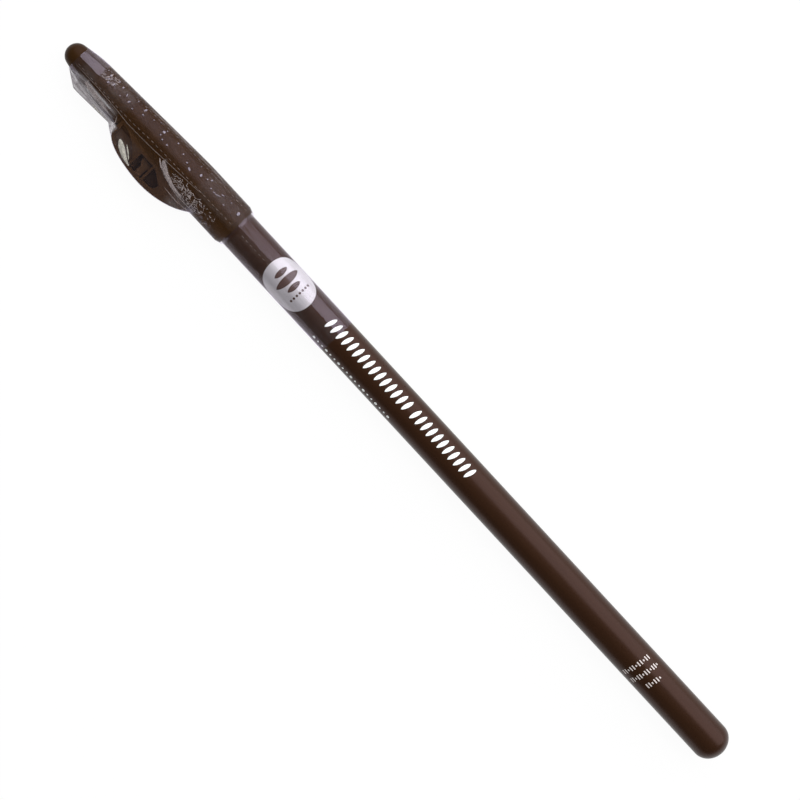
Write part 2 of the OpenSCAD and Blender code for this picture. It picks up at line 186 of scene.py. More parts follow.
def pigment_material():
    """Waxy brown pigment, cut by a sharpener."""
    material, tree, shader = new_material("pigment")
    mottle = noise_value(tree, object_coordinates(tree, (1500, 1500, 1500)))
    tone = ramp(tree, mottle, [(0.3, rgb(40, 24, 18)), (0.7, rgb(56, 36, 28))])
    tree.links.new(tone, shader.inputs["Base Color"])
    shader.inputs["Roughness"].default_value = 0.48
    tree.links.new(bump(tree, mottle, 0.35, 0.00005), shader.inputs["Normal"])
    return material


def cap_material():
    """Dark brown moulded plastic, painted a little lighter towards the housing side (-y) as a stand-in for
    light.
    """
    material, tree, shader = new_material("cap_plastic")
    cloud = noise_value(tree, object_coordinates(tree, (300, 300, 300)))
    place = tree.nodes.new("ShaderNodeSeparateXYZ")
    tree.links.new(object_coordinates(tree, (1, 1, 1)), place.inputs["Vector"])
    # Painted light: the base colour is lifted towards the housing side (-y).
    painted_housing_light = remap(tree, place.outputs["Y"], 0.0003, -0.0012, 0.0, 0.5)
    mottle_and_painted_light = arithmetic(tree, "ADD", arithmetic(tree, "MULTIPLY", cloud, 0.5), painted_housing_light)
    tone = ramp(tree, mottle_and_painted_light, [(0.15, rgb(44, 27, 10)), (0.36, rgb(50, 32, 13)), (0.85, rgb(66, 46, 29))])
    tree.links.new(tone, shader.inputs["Base Color"])
    tree.links.new(remap(tree, cloud, 0.3, 0.7, 0.30, 0.40), shader.inputs["Roughness"])
    shader.inputs["Specular IOR Level"].default_value = 0.1
    shader.inputs["Specular Tint"].default_value = (1.0, 0.75, 0.78, 1.0)
    return material


def steel_material(name, tone, along, across, rough):
    """Steel with fine marks that run along the grinding direction."""
    material, tree, shader = new_material(name)
    marks = noise_value(tree, object_coordinates(tree, (along, across, along)), detail=4, rough=0.7)
    low = tuple(0.86 * c for c in tone[:3]) + (1.0,)
    tree.links.new(ramp(tree, marks, [(0.3, low), (0.7, tone)]), shader.inputs["Base Color"])
    shader.inputs["Metallic"].default_value = 1.0
    tree.links.new(remap(tree, marks, 0.3, 0.7, rough - 0.06, rough + 0.06), shader.inputs["Roughness"])
    tree.links.new(bump(tree, marks, 0.2, 0.00001), shader.inputs["Normal"])
    return material


def foil_material():
    """Silver foil with soft brushed streaks."""
    material, tree, shader = new_material("silver_foil")
    streaks = noise_value(tree, object_coordinates(tree, (180, 2200, 2200)), detail=4, rough=0.6)
    tone = ramp(tree, streaks, [(0.3, rgb(192, 189, 193)), (0.7, rgb(210, 208, 212))])
    tree.links.new(tone, shader.inputs["Base Color"])
    shader.inputs["Metallic"].default_value = 0.45
    tree.links.new(remap(tree, streaks, 0.3, 0.7, 0.46, 0.54), shader.inputs["Roughness"])
    return material


def ink_material(name, colour):
    material, tree, shader = new_material(name)
    speckle = noise_value(tree, object_coordinates(tree, (4000, 4000, 4000)))
    pale = tuple(min(1.0, 1.04 * c) for c in colour[:3]) + (1.0,)
    tree.links.new(ramp(tree, speckle, [(0.35, colour), (0.65, pale)]), shader.inputs["Base Color"])
    shader.inputs["Roughness"].default_value = 0.5
    return material


def film_material():
    """Clear film. Where it stands off the cap it mirrors more, and more sharply, than where it clings.

    The flap at the front, where two layers lie on each other, is grey and streaked. Along the front and arc
    creases the film is painted pale as highlights.
    """
    material, tree, shader = new_material("clear_film")
    looks = tree.nodes.new("ShaderNodeAttribute")
    looks.attribute_name = "film_looks"
    parts = tree.nodes.new("ShaderNodeSeparateColor")
    tree.links.new(looks.outputs["Color"], parts.inputs["Color"])
    clings, crinkled, white = (parts.outputs[c] for c in ("Red", "Green", "Blue"))
    layered = looks.outputs["Alpha"]

    wrinkle = noise_value(tree, object_coordinates(tree, (1100, 1100, 1100)), detail=2, rough=0.5)
    patches = remap(tree, wrinkle, 0.5, 0.56, 0.0, 0.8)
    loose_patches = arithmetic(tree, "MULTIPLY", patches, crinkled)
    stuck = arithmetic(tree, "MULTIPLY", clings, arithmetic(tree, "SUBTRACT", 1.0, loose_patches))

    height = arithmetic(tree, "MULTIPLY", wrinkle, remap(tree, crinkled, 0.0, 1.0, 0.0, 0.8))
    normal = bump(tree, height, 0.6, 0.00025)
    turned_away = tree.nodes.new("ShaderNodeLayerWeight")
    turned_away.inputs["Blend"].default_value = 0.5
    tree.links.new(normal, turned_away.inputs["Normal"])
    grazing = arithmetic(tree, "POWER", turned_away.outputs["Facing"], 5.0)
    gloss = remap(tree, grazing, 0.0, 1.0, 0.042, 0.45)
    mirror = arithmetic(tree, "MULTIPLY", gloss, remap(tree, stuck, 0.0, 1.0, 1.0, 0.13))

    clear = tree.nodes.new("ShaderNodeBsdfTransparent")
    clear.inputs["Color"].default_value = (0.985, 0.98, 0.985, 1.0)
    shine = tree.nodes.new("ShaderNodeBsdfAnisotropic")
    shine.inputs["Color"].default_value = (0.84, 0.77, 0.96, 1.0)
    tree.links.new(remap(tree, stuck, 0.86, 1.0, 0.08, 0.3), shine.inputs["Roughness"])
    tree.links.new(normal, shine.inputs["Normal"])
    film = tree.nodes.new("ShaderNodeMixShader")
    tree.links.new(mirror, film.inputs["Fac"])
    tree.links.new(clear.outputs["BSDF"], film.inputs[1])
    tree.links.new(shine.outputs["BSDF"], film.inputs[2])

    streaks = noise_value(tree, object_coordinates(tree, (170, 1300, 1300)), detail=3, rough=0.6)
    stops = [(0.32, rgb(146, 138, 140)), (0.52, rgb(188, 182, 184)), (0.66, rgb(240, 238, 240))]
    tree.links.new(ramp(tree, streaks, stops), shader.inputs["Base Color"])
    shader.inputs["Roughness"].default_value = 0.35
    tree.links.new(normal, shader.inputs["Normal"])
    # Painted highlights: the white channel lays a pale cover on creases, strongest along the front and arc
    # streaks
    creases = arithmetic(tree, "MULTIPLY", white, remap(tree, wrinkle, 0.35, 0.62, 0.45, 1.0))
    layers = arithmetic(tree, "MULTIPLY", layered, remap(tree, streaks, 0.3, 0.66, 0.45, 1.0))
    hazy = tree.nodes.new("ShaderNodeMixShader")
    tree.links.new(arithmetic(tree, "MAXIMUM", creases, layers), hazy.inputs["Fac"])
    tree.links.new(film.outputs["Shader"], hazy.inputs[1])
    tree.links.new(shader.outputs["BSDF"], hazy.inputs[2])
    tree.links.new(hazy.outputs["Shader"], tree.nodes["Material Output"].inputs["Surface"])
    return material


def film_highlight_material(name, colour, cover):
    """Film that is folded, torn or raised, painted pale over what lies under it as a stand-in for the
    highlights it catches.
    """
    material, tree, shader = new_material(name)
    speckle = noise_value(tree, object_coordinates(tree, (2600, 2600, 2600)), detail=2)
    dull = tuple(0.7 * c for c in colour[:3]) + (1.0,)
    tree.links.new(ramp(tree, speckle, [(0.35, dull), (0.62, colour)]), shader.inputs["Base Color"])
    shader.inputs["Roughness"].default_value = 0.3
    clear = tree.nodes.new("ShaderNodeBsdfTransparent")
    mixed = tree.nodes.new("ShaderNodeMixShader")
    tree.links.new(remap(tree, speckle, 0.35, 0.65, 0.75 * cover, cover), mixed.inputs["Fac"])
    tree.links.new(clear.outputs["BSDF"], mixed.inputs[1])
    tree.links.new(shader.outputs["BSDF"], mixed.inputs[2])
    tree.links.new(mixed.outputs["Shader"], tree.nodes["Material Output"].inputs["Surface"])
    return material


FLOOR_GLOW = 0.95  # share of the floor's own even white, as the camera and the gloss see it


def floor_material():
    """Pale floor that shows white to the camera and in reflections, and keeps a soft shadow."""
    material, tree, shader = new_material("floor")
    grain = noise_value(tree, object_coordinates(tree, (30, 30, 30)))
    tone = ramp(tree, grain, [(0.3, rgb(244, 243, 243)), (0.7, rgb(247, 247, 247))])
    tree.links.new(tone, shader.inputs["Base Color"])
    shader.inputs["Roughness"].default_value = 0.9
    seen = tree.nodes.new("ShaderNodeLightPath")
    direct = arithmetic(tree, "MAXIMUM", seen.outputs["Is Camera Ray"], seen.outputs["Is Glossy Ray"])
    direct = arithmetic(tree, "MAXIMUM", direct, seen.outputs["Is Transmission Ray"])
    glow = tree.nodes.new("ShaderNodeEmission")
    glow.inputs["Strength"].default_value = 1.0
    mixed = tree.nodes.new("ShaderNodeMixShader")
    tree.links.new(arithmetic(tree, "MULTIPLY", direct, FLOOR_GLOW), mixed.inputs["Fac"])
    tree.links.new(shader.outputs["BSDF"], mixed.inputs[1])
    tree.links.new(glow.outputs["Emission"], mixed.inputs[2])
    tree.links.new(mixed.outputs["Shader"], tree.nodes["Material Output"].inputs["Surface"])
    return material


# Meshes

def add_mesh(name, points, faces, material, body, smooth_below=35):
    """A mesh piece from points in metres, riding on a body."""
    mesh = bpy.data.meshes.new(name)
    mesh.from_pydata([tuple(p) for p in points], [], faces)
    mesh.update()
    mesh.polygons.foreach_set("use_smooth", [True] * len(mesh.polygons))
    mesh.set_sharp_from_angle(angle=math.radians(smooth_below))
    mesh.materials.append(material)
    piece = bpy.data.objects.new(name, mesh)
    bpy.context.scene.collection.objects.link(piece)
    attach(piece, body)
    return piece


def on_pencil(x, angle, r):
    """Row-frame point at x, at an angle from straight up towards +y, at a distance from the axis."""
    return (CAP_TIP_X + x * MM, AXIS_Y + r * MM * math.sin(angle), AXIS_Z + r * MM * math.cos(angle))


def lathe(profile, around):
    """Closed surface of revolution about the pencil's axis; the profile is a loop of (x, r)."""
    points, faces, rings = [], [], []
    for x, r in profile:
        if r == 0:
            rings.append([len(points)] * around)
            points.append(on_pencil(x, 0, 0))
        else:
            rings.append([len(points) + k for k in range(around)])
            points.extend(on_pencil(x, 2 * math.pi * k / around, r) for k in range(around))
    for first, second in zip(rings, rings[1:] + rings[:1]):
        for k in range(around):
            corners = [first[k], first[(k + 1) % around], second[(k + 1) % around], second[k]]
            corners = list(dict.fromkeys(corners))
            if len(corners) > 2:
                faces.append(corners)
    return points, faces


# The lacquer's thickness on the wood, how deep its inner side lies in the wood, and its facets
COAT_T, COAT_DEPTH = 0.015, 0.06
COAT_STEPS, COAT_DOME_STEPS, COAT_AROUND = 12, 24, 144
COAT_EDGE_L = 0.25  # length over which it rises to its full thickness at the sharpened cone


def lacquer_coat(material):
    """The lacquer over both halves of the casing, from the sharpened cone to the far end."""
    dome_start = PENCIL_END - END_DEPTH
    outer = [(CONE_END - 0.05, CASING_R - 0.02), (CONE_END + 0.05, CASING_R + 0.6 * COAT_T)]
    outer.append((CONE_END + COAT_EDGE_L, CASING_R + COAT_T))
    for k in range(1, COAT_STEPS):
        outer.append((CONE_END + (dome_start - CONE_END) * k / COAT_STEPS, CASING_R + COAT_T))
    inner = []
    for k in range(COAT_DOME_STEPS + 1):
        a = math.pi / 2 * k / COAT_DOME_STEPS
        closed = k == COAT_DOME_STEPS
        outer_r = 0 if closed else (CASING_R + COAT_T * math.cos(a)) * math.cos(a)
        inner_r = 0 if closed else (CASING_R - COAT_DEPTH) * math.cos(a)
        outer.append((dome_start + END_DEPTH * math.sin(a), outer_r))
        inner.append((dome_start + (END_DEPTH - COAT_DEPTH) * math.sin(a), inner_r))
    inner = inner[::-1] + [(CONE_END - 0.02, CASING_R - COAT_DEPTH)]
    points, faces = lathe(outer + inner, COAT_AROUND)
    add_mesh("lacquer_coat", points, faces, material, "pencil")


def inlay(name, shapes, material, lift):
    """Thin flat shapes wrapped on the casing.

    Each shape is a grid of (x, y), with y measured round the casing.
    """
    top_r, low_r = CASING_R + COAT_T + lift, CASING_R - COAT_DEPTH / 2
    points, faces = [], []
    for grid in shapes:
        rows, columns = len(grid), len(grid[0])
        start = len(points)
        for r in (top_r, low_r):
            points.extend(on_pencil(x, y / CASING_R, r) for row in grid for x, y in row)
        under = rows * columns

        def at(i, j, layer=0):
            return start + layer * under + i * columns + j

        for i in range(rows - 1):
            for j in range(columns - 1):
                faces.append([at(i, j), at(i, j + 1), at(i + 1, j + 1), at(i + 1, j)])
                faces.append([at(i, j, 1), at(i + 1, j, 1), at(i + 1, j + 1, 1), at(i, j + 1, 1)])
        rim = [(0, j) for j in range(columns)] + [(i, columns - 1) for i in range(1, rows)]
        rim += [(rows - 1, j) for j in range(columns - 2, -1, -1)]
        rim += [(i, 0) for i in range(rows - 2, 0, -1)]
        for a, b in zip(rim, rim[1:] + rim[:1]):
            faces.append([at(*a), at(*a, 1), at(*b, 1), at(*b)])
    add_mesh(name, points, faces, material, "pencil")


def leaf(x, y, length, width, slant, steps):
    """A pointed stroke centred at x, y; its length runs across the pencil and leans by slant."""
    point_w, fullness = 0.04, 0.7
    grid = []
    for k in range(steps + 1):
        t = 2 * k / steps - 1
        half = max(width / 2 * (1 - t * t) ** fullness, point_w / 2)
        centre = x + slant * t * length / 2
        grid.append([(across, y + t * length / 2) for across in (centre - half, centre, centre + half)])
    return grid


def disc(x, y, r, rings):
    """A round patch as a square grid bent into a circle."""
    grid = []
    for i in range(2 * rings + 1):
        row = []
        for j in range(2 * rings + 1):
            u, v = i / rings - 1, j / rings - 1
            row.append((x + r * u * math.sqrt(1 - v * v / 2), y + r * v * math.sqrt(1 - u * u / 2)))
        grid.append(row)
    return grid


def bar(x, y, length, width):
    """A straight dash across the pencil."""
    steps = 6
    ends = (x - width / 2, x + width / 2)
    return [[(end, y + length * (k / steps - 0.5)) for end in ends] for k in range(steps + 1)]


# The print: how high the ink stands, and where its plain shapes lie, y being measured round the casing
INK_LIFT = 0.012
DISC_RINGS, DOT_RINGS, LEAF_STEPS, STROKE_STEPS = 14, 4, 18, 14
DISC_X, DISC_Y, DISC_R = 63.75, 0.15, 5.65
MOTIF_Y = 0.3
MOTIF_LEAVES = ((-2.9, 3.4, 1.2), (-1.0, 6.2, 1.7), (0.9, 3.4, 1.2))  # x, length, width
MOTIF_DOTS_X, MOTIF_DOT_PITCH, MOTIF_DOT_R = 2.6, 0.8, 0.26
MAIN_FIELDS = ((74.9, 97.2), (99.6, 115.6))  # first and last x
MAIN_Y, MAIN_PITCH = 1.0, 1.6
STROKE_L, STROKE_W, STROKE_SLANT = 2.9, 0.9, 0.26
FINE_X, FINE_Y, FINE_PITCH, FINE_COUNT = 74.7, -4.05, 1.2, 19
FINE_DOT_R, FINE_BIG_DOT_R = 0.22, 0.34
END_ROWS = ((166.8, -4.2, 2.7), (169.1, -4.2, 3.0), (171.6, -2.2, 1.5))  # x, lowest and highest y
TICK_PITCH, TICK_L, TICK_W, SHORT_TICK_W, TICK_SLANT = 0.62, 0.24, 1.05, 0.45, 0.12


def decorate(foil, brown_ink, white_ink, grey_ink):
    """The silver disc and the print, as plain shapes."""
    inlay("silver_disc", [disc(DISC_X, DISC_Y, DISC_R, DISC_RINGS)], foil, INK_LIFT)
    motif = []
    for x, length, width in MOTIF_LEAVES:
        motif.append(leaf(DISC_X + x, DISC_Y + MOTIF_Y, length, width, 0, LEAF_STEPS))
    for k in range(-3, 4):
        y = DISC_Y + MOTIF_DOT_PITCH * k + MOTIF_Y
        motif.append(disc(DISC_X + MOTIF_DOTS_X, y, MOTIF_DOT_R, DOT_RINGS))
    inlay("disc_motif", motif, brown_ink, 2 * INK_LIFT)

    strokes = []
    for first, last in MAIN_FIELDS:
        count = round((last - first) / MAIN_PITCH)
        for k in range(count + 1):
            x = first + (last - first) * k / count
            strokes.append(leaf(x, MAIN_Y, STROKE_L, STROKE_W, STROKE_SLANT, STROKE_STEPS))
    inlay("main_print", strokes, white_ink, INK_LIFT)

    fine = []
    for k in range(FINE_COUNT):
        r = FINE_DOT_R if k % 3 else FINE_BIG_DOT_R
        fine.append(disc(FINE_X + FINE_PITCH * k, FINE_Y, r, DOT_RINGS))
    inlay("fine_print", fine, white_ink, INK_LIFT)

    rows = []
    for x, low, high in END_ROWS:
        count = round((high - low) / TICK_PITCH)
        for k in range(count):
            y = low + (high - low) * (k + 0.5) / count
            rows.append(bar(x + TICK_SLANT * y, y, TICK_L, SHORT_TICK_W if k % 3 == 2 else TICK_W))
    inlay("end_print", rows, grey_ink, INK_LIFT)


# The film

def blended(x, corner, change):
    """What a change of slope at a corner adds at x, when the corner is blended over BLEND_L each way."""
    inside = min(2 * BLEND_L, max(0.0, x - corner + BLEND_L))
    return change * inside ** 2 / (4 * BLEND_L) + change * max(0.0, x - corner - BLEND_L)


DOME_TO_NOSE = NOSE_L - DOME_R
NOSE_LEAN = math.atan2(NOSE_R, DOME_TO_NOSE) - math.asin(DOME_R / math.hypot(NOSE_R, DOME_TO_NOSE))
NOSE_SLOPE = math.tan(NOSE_LEAN)
TAPER_SLOPE = (MOUTH_R - NOSE_R) / (COLLAR_X - NOSE_L)


def cap_r(x):
    """Outer radius of the round part of the cap."""
    return (NOSE_R + (x - NOSE_L) * NOSE_SLOPE
            + blended(x, NOSE_L, TAPER_SLOPE - NOSE_SLOPE) + blended(x, COLLAR_X, -TAPER_SLOPE))


def swelling(x):
    """How far the housing has risen at x, from 0 at its ends to 1 at its crest."""
    span, power = (FRONT_L, FRONT_SWELL) if x < CREST_X else (REAR_L, REAR_SWELL)
    return max(0.0, 1 - ((x - CREST_X) / span) ** 2) ** power


def housing_r(x):
    """How far the housing's crest stands from the pencil's axis."""
    root = cap_r(x) - ROOT_DEPTH
    return root + (CREST_R - (cap_r(CREST_X) - ROOT_DEPTH)) * swelling(x)


def housing_half_width(x, side):
    """Half width of the housing at its crest, on the upper or the lower side."""
    if side > 0:
        lean = math.asin(cap_r(FRONT_X) / math.hypot(CREST_R, CREST_W)) - math.atan2(CREST_W, CREST_R)
        end = FRONT_W if x < CREST_X else END_W
        flank = CREST_W + (CREST_R - housing_r(x)) * math.tan(lean)
        return min(flank, end + (CASING_R - end) * swelling(x))
    slope = (CASING_R - TIP_R) / CONE_L
    cone_angle = math.atan(slope)

    def seat_depth(at):
        return TIP_R + (at - TIP_DEPTH) * slope + CONE_GAP / math.cos(cone_angle) + BLADE_T

    if x < BLADE_REAR_X:
        return seat_depth(x)
    deep = seat_depth(BLADE_REAR_X)
    return deep + (END_W - deep) * (x - BLADE_REAR_X) / (REAR_X - BLADE_REAR_X)


FILM_AIR, FILM_T, NECK_AIR = 0.07, 0.05, 0.08
FLOOR_GAP = 0.00001  # least height of the film over the floor, in metres


def share(x, x0, x1):
    """How far x is on its way from x0 to x1, kept between 0 and 1."""
    return max(0.0, min(1.0, (x - x0) / (x1 - x0)))


def between(a, b, part):
    """The value that part of the way from a to b."""
    return a + (b - a) * part


def sleeve_r(x):
    """Radius of the film's round side, over the cap, its bevelled mouth and the casing."""
    if x < BEVEL_X:
        return cap_r(x) + FILM_AIR
    if x < CAP_L:
        return MOUTH_R + FILM_AIR - MOUTH_BEVEL * share(x, BEVEL_X, CAP_L)
    part = share(x, CAP_L, CAP_L + 0.8 * DRAW_IN_L)
    return between(MOUTH_R - MOUTH_BEVEL + FILM_AIR, CASING_R + NECK_AIR, part * part * (3 - 2 * part))


def tip_reach(x):
    """How far the film stands out on the housing's side: flap, bridge over the corner, housing."""
    if x < FLAP_FULL_X:
        return cap_r(x) + between(FILM_AIR, FLAP_FRONT, share(x, FILM_FRONT, FLAP_FULL_X))
    if x < BRIDGE_X:
        return cap_r(x) + between(FLAP_FRONT, FLAP_REAR, share(x, FLAP_FULL_X, BRIDGE_X))
    if x < REAR_X:
        start, end = cap_r(BRIDGE_X) + FLAP_REAR, housing_r(LANDING_X) + FILM_AIR
        bridge = between(start, end, share(x, BRIDGE_X, LANDING_X))
        covered = housing_r(x) + FILM_AIR if x >= FRONT_X else 0.0
        return max(covered, bridge) if x < LANDING_X else covered
    return sleeve_r(x)


def tip_half_width(x, side):
    """Half width of the film where it stands out farthest, on the upper or the lower side."""
    if x < BRIDGE_X:
        return between(FOLD_W, END_W, share(x, FILM_FRONT, BRIDGE_X))
    if x < FRONT_X:
        return between(END_W, housing_half_width(FRONT_X, side) + FILM_AIR, share(x, BRIDGE_X, FRONT_X))
    if x > REAR_X:
        return FOLD_W
    return housing_half_width(x, side) + FILM_AIR


# Facets of half a section of the film: across its tip, down its straight side and round its back
FLAT_STEPS, TENT_STEPS, ROUND_STEPS = 4, 30, 56
LEAST_SPREAD = math.radians(60)


def half_band(x, side):
    """Half a section of the film from its tip round to its back, as (angle, radius, tent) triples."""
    r, reach, w = sleeve_r(x), tip_reach(x), tip_half_width(x, side)
    far, corner = math.hypot(reach, w), math.atan2(w, reach)
    touch = corner + math.acos(min(1.0, r / far))
    spread = max(touch, LEAST_SPREAD)
    band = []
    for k in range(FLAT_STEPS + 1):
        a = corner * k / FLAT_STEPS
        band.append((a, max(r, reach / math.cos(a)), 0.0))
    for k in range(1, TENT_STEPS + 1):
        a = corner + (spread - corner) * k / TENT_STEPS
        if far > r and a < touch:
            band.append((a, r / math.cos(touch - a), math.sin(math.pi * k / TENT_STEPS)))
        else:
            band.append((a, r, 0.0))
    for k in range(1, ROUND_STEPS + 1):
        band.append((spread + (math.pi - spread) * k / ROUND_STEPS, r, 0.0))
    return band


def along(points, x):
    """The y of a line drawn through points at x, or None past its ends."""
    if not points[0][0] <= x <= points[-1][0]:
        return None
    for (x0, y0), (x1, y1) in zip(points, points[1:]):
        if x <= x1:
            return y0 + (y1 - y0) * (x - x0) / (x1 - x0)


def near_line(points, x, y, width):
    """1 on the line, falling off to 0 over its width."""
    centre = along(points, x)
    return 0.0 if centre is None else math.exp(-((y - centre) / width) ** 2)


def window(v, low, high, soft):
    """1 between low and high, with soft ends."""
    rise = min(1.0, max(0.0, (v - low) / soft + 0.5))
    fall = min(1.0, max(0.0, (high - v) / soft + 0.5))
    return rise * fall


# Creases and perforations of the film, seen from above, as points (x, y); the front and arc streaks carry
# painted highlights
FOLD_LINE = [(3.4, -1.28), (5.9, -1.31), (10, -1.3), (15.7, -1.53), (19.0, -1.80), (22.4, -1.72),
             (25.9, -1.55), (29.2, -1.29), (33.0, -1.0), (36.8, -0.70), (39.2, -0.36)]
FRONT_GLINT_LINE = [(20.2, -5.0), (21.4, -5.75), (23.0, -6.6), (25.1, -7.3)]
ARC_GLINT_LINE = [(29.0, -1.6), (30.2, -2.3), (31.4, -3.0), (33.7, -3.7), (36.7, -3.95)]
BACK_STREAKS = [[(19.8, 3.5), (24, 3.85), (31.5, 4.15)], [(33.4, 4.2), (36, 4.3), (40.5, 4.3)]]
HOLES_LINE = [(3.9, -0.9), (9.0, -1.0), (15.7, -1.1), (19.6, -0.98), (24.0, -0.65), (29.4, -0.5),
              (38.5, -0.38), (47.0, -0.3)]
HOLES_END, BACK_HOLES, HOLES_PITCH = 58.5, (18.8, 47.0), 1.22

# Areas of the film as their lowest and highest x or y
LOOSE_NOSE_END, FAR_OUT = 8.4, 9.0
FLAP_BESIDE = (5.0, 15.4)
CRINKLED_X, CRINKLED_Y = (31.6, 44.5), (-4.3, -1.4)
NOSE_CRINKLED_X, NOSE_CRINKLED_Y = (8.6, 12.2), (0.7, 2.9)
HOUSING_MIDDLE = (17.0, 37.5)


def film_looks(x, y, upper):
    """How much the film clings, how crinkled it is, how white its creases and painted highlights are, and
    how layered it is.
    """
    clings = window(x, LOOSE_NOSE_END, CAP_L, 0.5) * window(y, -3.4, FAR_OUT, 0.8)
    clings = max(clings, window(x, REAR_X + 0.4, CAP_L, 0.8))
    on_casing = window(x, CAP_L + 0.6, FILM_END + FAR_OUT, 0.4)
    clings = max(clings, on_casing * between(0.85, 0.35, share(x, 50.0, 74.0)))
    beyond = window(x, FILM_FRONT, BRIDGE_X + 1.6, 1.2) * window(y, -FAR_OUT, -0.98 * cap_r(x), 0.25)
    beside = window(x, *FLAP_BESIDE, 2.5) * window(y, -FAR_OUT, -1.9, 0.6)
    layered = max(0.68 * beyond, 0.3 * beside)
    crinkled = 0.25 * layered
    white = 0.0
    streaks = 0.5 + 0.5 * noise.noise(Vector((0.35 * x, 1.6 * y, 3.0)))
    if upper:
        crinkled += 0.7 * window(x, *CRINKLED_X, 1.2) * window(y, *CRINKLED_Y, 0.5)
        crinkled += 0.3 * window(x, *NOSE_CRINKLED_X, 0.8) * window(y, *NOSE_CRINKLED_Y, 0.4)
        front_w = 0.8 * (0.10 + 0.55 * window(x, 21.2, 24.3, 1.6))
        arc_w = between(0.6, 0.25, share(x, 29.0, 33.0))
        # Painted highlights: pale bands along the front and arc streaks where the film catches the light
        white += 0.35 * near_line(FRONT_GLINT_LINE, x, y, front_w) * (0.4 + 0.6 * streaks)
        white += 0.3 * near_line(ARC_GLINT_LINE, x, y, arc_w) * (0.4 + 0.6 * streaks)
        white += 0.04 * window(x, 18.8, 23.6, 1.2) * window(y, -6.8, -3.8, 1.2) * streaks
        white += 0.14 * window(x, 35.0, 41.0, 1.5) * window(y, -7.0, -4.0, 0.8) * streaks
    off_housing = 1 - window(x, *HOUSING_MIDDLE, 1.5)
    white += 0.016 * off_housing * window(x, 5.0, CAP_L, 1.0) * window(y, -1.2, FAR_OUT, 0.5)
    white += 0.012 * window(x, CAP_L + 1.0, FILM_END + FAR_OUT, 0.5) * window(y, -4.5, 2.0, 1.0)
    return min(1.0, clings), min(1.0, crinkled), min(0.9, white), min(1.0, layered)


def film_wrinkle(x, y, upper, tent):
    """How far the film is pushed out or in, on top of its plain shape."""
    push = -0.08 * tent * window(x, FRONT_X, REAR_X, 3.0)
    waves = noise.noise(Vector((0.5 * x, 1.1 * y, 7.0 if upper else 11.0)))
    push += 0.05 * tent * waves
    if upper:
        push += 0.05 * near_line(FOLD_LINE, x, y, 0.16)
        push += 0.08 * near_line(FRONT_GLINT_LINE, x, y, 0.35) + 0.06 * near_line(ARC_GLINT_LINE, x, y, 0.3)
    return push


def film_stations():
    """The x of the film's sections, closest over the flap, its bridge and the housing."""
    stations = [FILM_FRONT]
    for end, count in ((BRIDGE_X - 0.2, 44), (LANDING_X + 0.6, 30), (REAR_X, 70), (BEVEL_X, 24),
                       (CAP_L + DRAW_IN_L, 16), (FILM_END, 22)):
        start = stations[-1]
        stations += [between(start, end, k / count) for k in range(1, count + 1)]
    return stations


def film_section(x):
    """The outline of the film at x, as a direction y, z, a distance from the axis and the side."""
    turn, tilt = math.cos(REST_ROLL), math.sin(REST_ROLL)
    upper, lower = half_band(x, 1), half_band(x, -1)
    section = [(a, r, tent, 1) for a, r, tent in upper]
    section += [(a, r, tent, -1) for a, r, tent in lower[-2:0:-1]]
    outline = []
    for a, r, tent, side in section:
        local_y, local_z = -math.cos(a), side * math.sin(a)
        y = local_y * turn - local_z * tilt
        z = local_y * tilt + local_z * turn
        outline.append((y, z, r + film_wrinkle(x, r * y, side > 0, tent), side))
    return outline


def shrink_film(material):
    """The sleeve of clear film over the cap and the first stretch of the casing."""
    stations = film_stations()
    outer, inner, looks = [], [], []
    around = 0
    for x in stations:
        section = film_section(x)
        around = len(section)
        for y, z, r, side in section:
            looks.append(film_looks(x, r * y, side > 0))
            for skin, wall in ((FILM_T / 2, outer), (-FILM_T / 2, inner)):
                far = (r + skin) * MM
                wall.append((CAP_TIP_X + x * MM, AXIS_Y + far * y, max(AXIS_Z + far * z, FLOOR_GAP)))
    shift = len(outer)
    faces = []
    for i in range(len(stations) - 1):
        for k in range(around):
            a, b = i * around + k, i * around + (k + 1) % around
            faces.append([a, b, b + around, a + around])
            faces.append([shift + a, shift + a + around, shift + b + around, shift + b])
    last = (len(stations) - 1) * around
    for k in range(around):
        n = (k + 1) % around
        faces.append([k, shift + k, shift + n, n])
        faces.append([last + k, last + n, shift + last + n, shift + last + k])
    film = add_mesh("clear_film", outer + inner, faces, material, "cap", 50)
    layer = film.data.color_attributes.new("film_looks", "FLOAT_COLOR", "POINT")
    layer.data.foreach_set("color", np.array(looks + looks, dtype=float).ravel())
    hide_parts("shrink_film")


class FilmTop:
    """Height of the film's upper surface above the pencil's axis, at any x and y."""

    def __init__(self):
        self.stations = film_stations()
        self.chains = []
        for x in self.stations:
            ys, zs = [], []
            for y, z, r, side in film_section(x):
                far = r + FILM_T / 2
                if side > 0:
                    ys.append(far * y)
                    zs.append(far * z)
            order = np.argsort(ys)
            self.chains.append((np.array(ys)[order], np.array(zs)[order]))

    def z(self, x, y):
        i = int(np.searchsorted(self.stations, x, side="right")) - 1
        i = max(0, min(len(self.stations) - 2, i))
        part = share(x, self.stations[i], self.stations[i + 1])
        low, high = (np.interp(y, *self.chains[k]) for k in (i, i + 1))
        return between(low, high, part)

    def point(self, x, y, lift):
        return (CAP_TIP_X + x * MM, AXIS_Y + y * MM, AXIS_Z + (self.z(x, y) + lift) * MM)


def resample(line, step):
    """Points about a step apart along a polyline."""
    points = [line[0]]
    for (x0, y0), (x1, y1) in zip(line, line[1:]):
        count = max(1, round(math.hypot(x1 - x0, y1 - y0) / step))
        points += [(between(x0, x1, k / count), between(y0, y1, k / count)) for k in range(1, count + 1)]
    return points


SUNK = -0.03  # how far the underside of a ridge or blister lies below the film's top


